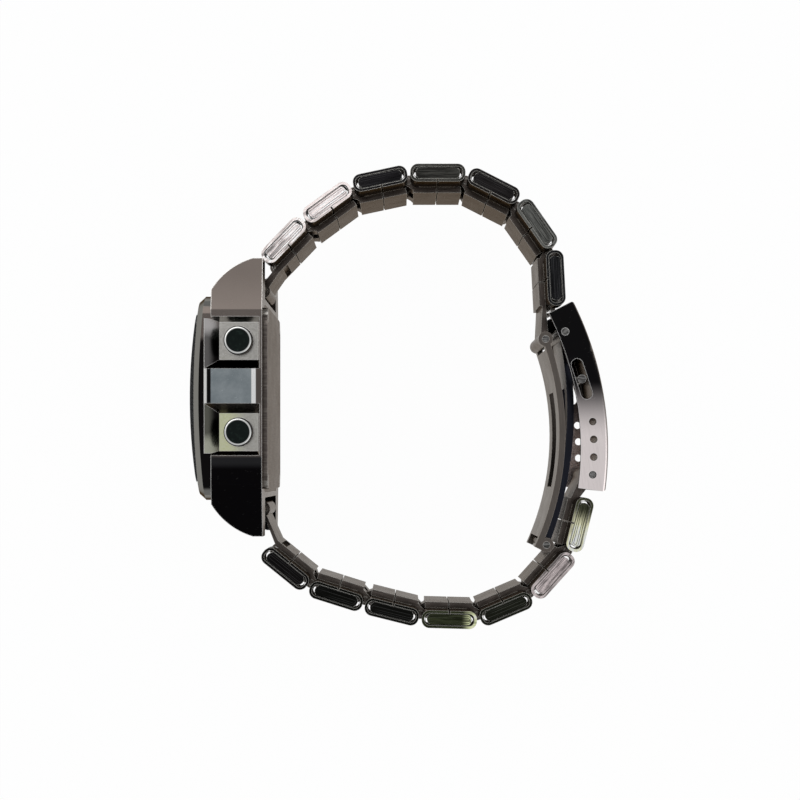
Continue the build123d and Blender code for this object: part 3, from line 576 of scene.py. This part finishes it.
def layer_steel(name):
    """The edges of the folded layers, streaked darker and paler than the painted reflection tone of the face
    that they lie in.
    """
    brightest = 0.6
    turn = link_places[name][0]
    tone = tuple(min(brightest, value * 1.2 + 0.02) for value in link_end_reflections[name][0])
    finish = metal(name + " layer edges", tone, roughness=0.28)
    streaked_place = finish.mapped(finish.place(), (0.05, 1.0, 1.0), turn, tuple(joint_places[name]))
    streak = finish.noise(streaked_place, scale=2600.0, detail=3.0)
    finish.put(Base_Color=finish.blend(streak.between(0.42, 0.58), lighter(tone, 0.25), lighter(tone, 1.5)))
    return finish.material


def cover_steel():
    """The clasp cover, a painted reflection from black at its upper end fading to pale satin at the lower
    one, with painted highlights on its edges.
    """
    lower_painted_reflection = (0.98, 0.88, 0.85)
    upper_painted_reflection = (0.008, 0.0075, 0.008)
    face_tone = (0.16, 0.14, 0.125)
    brush_tone = (0.62, 0.55, 0.53)
    finish = metal("clasp cover steel", (0.3, 0.25, 0.23), roughness=0.22)
    place = finish.place()
    y = finish.parts(place)[1]
    end = finish.across().between(0.6, 0.9)
    brush = finish.noise(finish.mapped(place, (1.0, 0.06, 1.0), turn=8.0), scale=4800.0)
    reflection_fade = y.between(-7.0 * mm, 2.5 * mm)
    colour = finish.blend(end, face_tone, finish.blend(reflection_fade, lower_painted_reflection, upper_painted_reflection))
    colour = finish.blend(brush.between(0.4, 0.8) * (1.0 - reflection_fade) * 0.25, colour, brush_tone)
    add_edge_highlights_and_wear(finish, colour, roughness=0.2, edge_tone=(0.98, 0.95, 0.92), edge_radius=0.22 * mm,
             edge_gain=3.4)
    finish.relief(brush, strength=0.18, distance=0.015 * mm)
    return finish.material


def blade_steel(name, tone, edge_tone):
    """A pressed clasp blade with polished edges and painted highlights along them."""
    finish = metal(name, tone, roughness=0.2)
    end = finish.across().between(0.6, 0.9)
    brushed_place = finish.mapped(finish.place(), (1.0, 0.08, 1.0), turn=5.0)
    brush = finish.noise(brushed_place, scale=4200.0)
    colour = finish.blend(end, tone, edge_tone)
    colour = finish.blend(brush.between(0.45, 0.8) * 0.5, colour, lighter(edge_tone, 1.6))
    add_edge_highlights_and_wear(finish, colour, roughness=0.2, edge_tone=lighter(edge_tone, 4.0), edge_radius=0.14 * mm,
             edge_gain=3.0)
    finish.relief(brush, strength=0.15, distance=0.015 * mm)
    return finish.material


def finish_nodes(material, *names):
    """Gives CAD nodes a material."""
    for name in names:
        data = frame["nodes"][name].data
        data.materials.clear()
        data.materials.append(material)


# Geometry Nodes
class Tree:
    """A node tree for geometry, with named inputs."""

    def __init__(self, name, inputs):
        self.group = bpy.data.node_groups.new(name, "GeometryNodeTree")
        self.identifiers = {}
        self.group.interface.new_socket("Geometry", in_out="INPUT", socket_type="NodeSocketGeometry")
        for label, kind in inputs:
            made = self.group.interface.new_socket(label, in_out="INPUT", socket_type=kind)
            self.identifiers[label] = made.identifier
        self.group.interface.new_socket("Geometry", in_out="OUTPUT", socket_type="NodeSocketGeometry")
        self.source = self.group.nodes.new("NodeGroupInput")
        self.sink = self.group.nodes.new("NodeGroupOutput")

    def given(self, label):
        """The output that carries a named input."""
        return self.source.outputs[label]

    def node(self, kind, settings=None, inputs=None, output=0):
        """Adds a node, sets and links it, and gives one of its outputs."""
        made = self.group.nodes.new(kind)
        for key, value in (settings or {}).items():
            setattr(made, key, value)
        for key, value in (inputs or {}).items():
            if isinstance(value, bpy.types.NodeSocket):
                self.group.links.new(value, made.inputs[key])
            else:
                made.inputs[key].default_value = value
        return made.outputs[output]

    def maths(self, operation, first, second):
        """A number worked out from two others."""
        return self.node("ShaderNodeMath", {"operation": operation}, {0: first, 1: second})

    def vector(self, x, y, z):
        """A vector from three numbers."""
        return self.node("ShaderNodeCombineXYZ", None, {0: x, 1: y, 2: z})

    def join(self, *pieces):
        """Several geometries as one."""
        made = self.group.nodes.new("GeometryNodeJoinGeometry")
        for piece in pieces:
            self.group.links.new(piece, made.inputs[0])
        return made.outputs[0]

    def end(self, geometry):
        """Realizes what was made, gives it its material and ends the tree."""
        real = self.node("GeometryNodeRealizeInstances", None, {"Geometry": geometry})
        done = self.node("GeometryNodeSetMaterial", None,
                         {"Geometry": real, "Material": self.given("Material")})
        self.group.links.new(done, self.sink.inputs[0])


def grown(name, tree, values, seed_mesh=None):
    """Runs a tree on an object and keeps its result as a plain mesh."""
    start = bpy.data.objects.new(name + "_start", seed_mesh or bpy.data.meshes.new(name + "_start"))
    bpy.context.scene.collection.objects.link(start)
    modifier = start.modifiers.new("grow", "NODES")
    modifier.node_group = tree.group
    for label, value in values.items():
        modifier[tree.identifiers[label]] = value
    bpy.context.view_layer.update()
    graph = bpy.context.evaluated_depsgraph_get()
    mesh = bpy.data.meshes.new_from_object(start.evaluated_get(graph))
    start.modifiers.remove(modifier)
    bpy.data.objects.remove(start)
    mesh.name = name
    made = bpy.data.objects.new(name, mesh)
    bpy.context.scene.collection.objects.link(made)
    return made


def layer_tree():
    """Nested edges of folded sheet in both ends of a link."""
    corner_share = 0.4
    tree = Tree("folded layers", [
        ("Length", "NodeSocketFloat"), ("Thickness", "NodeSocketFloat"), ("Step", "NodeSocketFloat"),
        ("Count", "NodeSocketInt"), ("Edge", "NodeSocketFloat"), ("Half Width", "NodeSocketFloat"),
        ("Turn", "NodeSocketFloat"), ("Place", "NodeSocketVector"), ("Material", "NodeSocketMaterial")])
    points = tree.node("GeometryNodeMeshLine", None,
                       {"Count": tree.given("Count"), "Offset": (0.0, 0.0, 0.0)})
    outline = tree.node("GeometryNodeCurvePrimitiveQuadrilateral", {"mode": "RECTANGLE"},
                        {0: tree.given("Length"), 1: tree.given("Thickness")})
    one_side = tree.maths("MULTIPLY", tree.node("GeometryNodeInputIndex"), tree.given("Step"))
    inset = tree.maths("MULTIPLY", one_side, 2.0)
    long_share = tree.maths("SUBTRACT", 1.0, tree.maths("DIVIDE", inset, tree.given("Length")))
    thin_share = tree.maths("SUBTRACT", 1.0, tree.maths("DIVIDE", inset, tree.given("Thickness")))
    placed = tree.node("GeometryNodeInstanceOnPoints", None, {
        "Points": points, "Instance": outline, "Scale": tree.vector(long_share, thin_share, 1.0)})
    rings = tree.node("GeometryNodeRealizeInstances", None, {"Geometry": placed})
    corner = tree.maths("MULTIPLY", tree.given("Thickness"), corner_share)
    rounded = tree.node("GeometryNodeFilletCurve", {"mode": "POLY"},
                        {"Curve": rings, "Radius": corner, "Limit Radius": True, "Count": 6})
    profile = tree.node("GeometryNodeCurvePrimitiveQuadrilateral", {"mode": "RECTANGLE"},
                        {0: tree.given("Edge"), 1: tree.given("Edge")})
    edges = tree.node("GeometryNodeCurveToMesh", None, {"Curve": rounded, "Profile Curve": profile})
    ends = []
    for side in (1.0, -1.0):
        rise = tree.vector(0.0, 0.0, tree.maths("MULTIPLY", tree.given("Half Width"), side))
        ends.append(tree.node("GeometryNodeTransform", None, {"Geometry": edges, "Translation": rise}))
    tree.end(tree.node("GeometryNodeTransform", None,
                       {"Geometry": tree.join(*ends), "Translation": tree.given("Place"),
                        "Rotation": tree.vector(0.0, 0.0, tree.given("Turn"))}))
    return tree


def coil_tree():
    """A return spring wound along Z, upwards from its place."""
    tree = Tree("return spring", [
        ("Radius", "NodeSocketFloat"), ("Wire", "NodeSocketFloat"), ("Turns", "NodeSocketFloat"),
        ("Height", "NodeSocketFloat"), ("Place", "NodeSocketVector"), ("Material", "NodeSocketMaterial")])
    spiral = tree.node("GeometryNodeCurveSpiral", None, {
        "Resolution": 24, "Rotations": tree.given("Turns"), "Start Radius": tree.given("Radius"),
        "End Radius": tree.given("Radius"), "Height": tree.given("Height")})
    wire = tree.node("GeometryNodeCurvePrimitiveCircle", {"mode": "RADIUS"},
                     {"Resolution": 10, "Radius": tree.maths("DIVIDE", tree.given("Wire"), 2.0)})
    coil = tree.node("GeometryNodeCurveToMesh", None,
                     {"Curve": spiral, "Profile Curve": wire, "Fill Caps": True})
    tree.end(tree.node("GeometryNodeTransform", None,
                       {"Geometry": coil, "Translation": tree.given("Place")}))
    return tree


def segment_tree():
    """Bars of a segment display, one on each point, turned and stretched as the point says."""
    tree = Tree("display segments", [("Material", "NodeSocketMaterial")])
    bar = tree.node("GeometryNodeMeshCylinder", {"fill_type": "NGON"},
                    {"Vertices": 6, "Radius": 0.5, "Depth": 1.0})
    turn, stretch = [
        tree.node("GeometryNodeInputNamedAttribute", {"data_type": "FLOAT_VECTOR"}, {"Name": label})
        for label in ("turn", "stretch")]
    tree.end(tree.node("GeometryNodeInstanceOnPoints", None, {
        "Points": tree.given("Geometry"), "Instance": bar, "Rotation": turn, "Scale": stretch}))
    return tree


# Which bars of a figure are lit: top, upper left, upper right, middle, lower left, lower right, bottom
lit_bars = {
    "0": (1, 1, 1, 0, 1, 1, 1), "1": (0, 0, 1, 0, 0, 1, 0), "5": (1, 1, 0, 1, 0, 1, 1),
    "8": (1, 1, 1, 1, 1, 1, 1),
}
# Each bar's place in a figure, in half widths and half heights, and whether it stands upright
bar_places = [(0, 1, 0), (-1, 0.5, 1), (1, 0.5, 1), (0, 0, 0), (-1, -0.5, 1), (1, -0.5, 1), (0, -1, 0)]


def figure_points(text, left, middle_y, height, x):
    """The bars of a row of figures as points: place, turn and stretch. Text runs towards +Z."""
    half_height = height / 2
    half_width = height * 0.20
    thick = height * 0.11
    upright_length = half_height * 0.86
    level_length = half_width * 1.72
    level = (0.0, 0.0, 0.0)
    upright_turn = (math.pi / 2, 0.0, 0.0)
    rows = []
    at = left
    for letter in text:
        if letter == ":":
            dot_middle = at + half_width * 0.4
            for up in (0.5, -0.5):
                rows.append(((x, middle_y + up * half_height, dot_middle), level, (thick, thick, thick)))
            at += half_width * 1.6
            continue
        middle = at + half_width * 1.3
        for lit, (aside, up, upright) in zip(lit_bars[letter], bar_places):
            if lit:
                place = (x, middle_y + up * half_height, middle + aside * half_width)
                turn = upright_turn if upright else level
                length = upright_length if upright else level_length
                rows.append((place, turn, (thick, thick, length)))
        at += half_width * 3.0
    return rows


def seed_points(name, rows):
    """A mesh of points that carry turn and stretch."""
    mesh = bpy.data.meshes.new(name)
    mesh.from_pydata([row[0] for row in rows], [], [])
    for label, index in (("turn", 1), ("stretch", 2)):
        field = mesh.attributes.new(label, "FLOAT_VECTOR", "POINT")
        field.data.foreach_set("vector", [value for row in rows for value in row[index]])
    return mesh


# Operators
class WATCH_OT_head(bpy.types.Operator):
    """Finish the case, its frame, crystal, back and pushers"""
    bl_idname = "watch.head"
    bl_label = "Case, crystal and pushers"

    def execute(self, context):
        colours = context.scene.watch_colours
        back = ring_steel("case back satin", (0.13, 0.11, 0.10), (0.42, 0.38, 0.34), roughness=0.3)
        screws = ring_steel("screw polish", (0.35, 0.33, 0.30), (0.7, 0.68, 0.65))
        spring_steel = ring_steel("spring steel", (0.16, 0.15, 0.14), (0.5, 0.48, 0.46))
        finish_nodes(case_steel(colours), "case")
        finish_nodes(bezel_steel(), "bezel")
        finish_nodes(back, "case_back")
        finish_nodes(screws, "case_back_screws")
        finish_nodes(crystal_clear(), "crystal")
        finish_nodes(mask_print(), "dial_mask")
        finish_nodes(display_ground(colours), "display_panel")
        finish_nodes(spring_steel, "upper_spring_bar", "lower_spring_bar")
        for name in pusher_names:
            finish_nodes(pusher_steel(name + "_pusher", colours), name + "_pusher")
            finish_nodes(spring_steel, name + "_pusher_clip")
        return {"FINISHED"}


class WATCH_OT_module(bpy.types.Operator):
    """Finish the pieces inside the case"""
    bl_idname = "watch.module"
    bl_label = "Module"

    def execute(self, context):
        for node, values in module_polymers.items():
            finish_nodes(plain_polymer(*values), node)
        for nodes, values in module_metals.items():
            finish_nodes(ring_steel(*values), *nodes)
        return {"FINISHED"}


class WATCH_OT_springs(bpy.types.Operator):
    """Wind the return spring of each pusher"""
    bl_idname = "watch.springs"
    bl_label = "Pusher springs"

    def execute(self, context):
        sizes = context.scene.watch_sizes
        tree = coil_tree()
        wire_steel = ring_steel("spring wire", (0.25, 0.24, 0.23), (0.6, 0.58, 0.56))
        for name in pusher_names:
            node = name + "_pusher_spring"
            low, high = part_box(node)
            middle = (low + high) / 2
            coil = grown(name + "_return_spring", tree, {
                "Radius": (high.x - low.x) / 2 - sizes.spring_wire / 2,
                "Wire": sizes.spring_wire,
                "Turns": float(sizes.spring_turns),
                "Height": high.z - low.z - sizes.spring_wire,
                "Place": (middle.x, middle.y, low.z + sizes.spring_wire / 2),
                "Material": wire_steel})
            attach(coil, "case")
            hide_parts(node)
            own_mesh(coil)
        return {"FINISHED"}


class WATCH_OT_display(bpy.types.Operator):
    """Set plain figures on the display"""
    bl_idname = "watch.display"
    bl_label = "Display figures"

    def execute(self, context):
        sizes = context.scene.watch_sizes
        ink = plain_polymer("display ink", (0.012, 0.014, 0.013), 0.35, 3000.0)
        low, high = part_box("display_panel")
        x = low.x - 0.01 * mm
        middle_y = (low.y + high.y) / 2
        height = sizes.digit_height
        small_height = height * 0.55
        ink_flatness = 0.05
        # Both rows stand on one base line
        small_middle_y = middle_y - (height - small_height) / 2
        rows = figure_points("10:58", strap_middle - 8.9 * mm, middle_y, height, x)
        rows += figure_points("50", strap_middle + 5.3 * mm, small_middle_y, small_height, x)
        figures = grown("display_figures", segment_tree(), {"Material": ink},
                        seed_points("display_points", rows))
        flatten = Matrix.Diagonal((ink_flatness, 1, 1, 1))
        figures.data.transform(Matrix.Translation((x, 0, 0)) @ flatten @ Matrix.Translation((-x, 0, 0)))
        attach(figures, "case")
        return {"FINISHED"}


class WATCH_OT_bracelet(bpy.types.Operator):
    """Finish the links and lay the folded layers in their ends"""
    bl_idname = "watch.bracelet"
    bl_label = "Bracelet links"

    def execute(self, context):
        sizes = context.scene.watch_sizes
        colours = context.scene.watch_colours
        tree = layer_tree()
        clear = 2 * sheet_wall + sizes.layer_step
        for name, (turn, reach, rise) in link_places.items():
            finish_nodes(link_steel(name, colours), name)
            angle = math.radians(turn)
            along = Vector((math.cos(angle), math.sin(angle), 0.0))
            outward = Vector((-along.y, along.x, 0.0))
            middle = joint_places[name] + along * (reach + link_pitch / 2) + outward * rise
            layers = grown(name + "_layers", tree, {
                "Length": link_length - clear,
                "Thickness": link_thickness - clear,
                "Step": sizes.layer_step,
                "Count": sizes.layer_count,
                "Edge": sizes.layer_wire,
                "Half Width": half_band - end_recess,
                "Turn": angle,
                "Place": (middle.x, middle.y, strap_middle),
                "Material": layer_steel(name)})
            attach(layers, name)
        return {"FINISHED"}


class WATCH_OT_clasp(bpy.types.Operator):
    """Finish the cover, the blades and the bars of the clasp"""
    bl_idname = "watch.clasp"
    bl_label = "Clasp"

    def execute(self, context):
        inner = blade_steel("inner blade polish", (0.055, 0.047, 0.042), (0.13, 0.112, 0.098))
        middle = blade_steel("middle blade polish", (0.05, 0.048, 0.05), (0.018, 0.019, 0.026))
        pin = ring_steel("pin polish", (0.05, 0.048, 0.045), (0.80, 0.78, 0.75))
        finish_nodes(cover_steel(), "clasp_cover")
        finish_nodes(inner, "inner_blade")
        finish_nodes(middle, "middle_blade")
        finish_nodes(pin, "blade_end_pin", "fold_pin", "cover_pin", "adjusting_spring_bar", "latch_bar")
        return {"FINISHED"}


class WATCH_OT_stage(bpy.types.Operator):
    """Lay the floor, hang the lights and set the camera"""
    bl_idname = "watch.stage"
    bl_label = "Stage"

    def execute(self, context):
        scene = context.scene
        scene.view_settings.view_transform = "Standard"
        world = bpy.data.worlds.new("studio")
        scene.world = world
        world.use_nodes = True
        sky = world.node_tree.nodes["Background"]
        sky.inputs["Color"].default_value = (0.95, 0.97, 1.0, 1.0)
        sky.inputs["Strength"].default_value = 0.62
        half = 0.9
        mesh = bpy.data.meshes.new("floor")
        mesh.from_pydata([(-half, -half, 0), (half, -half, 0), (half, half, 0), (-half, half, 0)], [],
                         [(0, 1, 2, 3)])
        floor = bpy.data.objects.new("floor", mesh)
        scene.collection.objects.link(floor)
        floor.data.materials.append(floor_paper())
        add_lamp("key", place=(-0.16, 0.22, 0.42), size=0.34, power=0.42)
        add_lamp("fill", place=(0.30, -0.18, 0.34), size=0.40, power=0.30)
        add_camera(scene)
        return {"FINISHED"}


def floor_paper():
    """White paper: white to the camera and in reflections, and keeping a trace of shadow."""
    whiteness = 0.97
    finish = Finish("white paper", Base_Color=(0.9, 0.9, 0.9, 1.0), Roughness=0.9)
    path = finish.tree.nodes.new("ShaderNodeLightPath")
    camera, glossy, clear = [
        Wire(finish, path.outputs["Is %s Ray" % kind]) for kind in ("Camera", "Glossy", "Transmission")]
    seen = camera.most(glossy).most(clear)
    glow = finish.node("ShaderNodeEmission", None, {"Color": (1.0, 1.0, 1.0, 1.0), "Strength": 1.0})
    paper = Wire(finish, finish.shader.outputs[0])
    both = finish.node("ShaderNodeMixShader", None, {0: seen * whiteness, 1: paper, 2: glow})
    finish.tree.links.new(both.socket, finish.tree.nodes["Material Output"].inputs["Surface"])
    return finish.material


def add_lamp(name, place, size, power):
    """A square soft lamp aimed at the watch."""
    data = bpy.data.lights.new(name, "AREA")
    data.size = size
    data.energy = power
    lamp = bpy.data.objects.new(name, data)
    lamp.location = place
    aim = Vector((0.0, 0.0, strap_middle)) - Vector(place)
    lamp.rotation_euler = aim.to_track_quat("-Z", "Y").to_euler()
    bpy.context.scene.collection.objects.link(lamp)


def add_camera(scene):
    """The camera, straight above the upper side of the watch."""
    data = bpy.data.cameras.new("camera")
    data.lens = 70.8
    data.sensor_width = 36.0
    data.shift_y = 0.0875
    data.clip_start = 0.01
    camera = bpy.data.objects.new("camera", data)
    camera.location = (0.1 * mm, -12.05 * mm, 285.5 * mm)
    scene.collection.objects.link(camera)
    scene.camera = camera


class WATCH_PT_panel(bpy.types.Panel):
    """The steps that dress the watch."""
    bl_label = "Digital wrist watch"
    bl_idname = "WATCH_PT_panel"
    bl_space_type = "VIEW_3D"
    bl_region_type = "UI"
    bl_category = "Watch"

    def draw(self, context):
        for group in (context.scene.watch_sizes, context.scene.watch_colours):
            for name in group.__annotations__:
                self.layout.prop(group, name)
        for step in steps:
            self.layout.operator(step.bl_idname)


steps = [WATCH_OT_head, WATCH_OT_module, WATCH_OT_springs, WATCH_OT_display, WATCH_OT_bracelet,
         WATCH_OT_clasp, WATCH_OT_stage]
classes = [WatchSizes, WatchColours] + steps + [WATCH_PT_panel]


def register():
    """Registers the classes and the settings on the scene."""
    for item in classes:
        bpy.utils.register_class(item)
    bpy.types.Scene.watch_sizes = bpy.props.PointerProperty(type=WatchSizes)
    bpy.types.Scene.watch_colours = bpy.props.PointerProperty(type=WatchColours)


def unregister():
    """Takes the settings and the classes away again."""
    del bpy.types.Scene.watch_colours
    del bpy.types.Scene.watch_sizes
    for item in reversed(classes):
        bpy.utils.unregister_class(item)


def main():
    """Runs every step in order."""
    register()
    for step in steps:
        group, name = step.bl_idname.split(".")
        getattr(getattr(bpy.ops, group), name)()


if __name__ == "__main__":
    main()
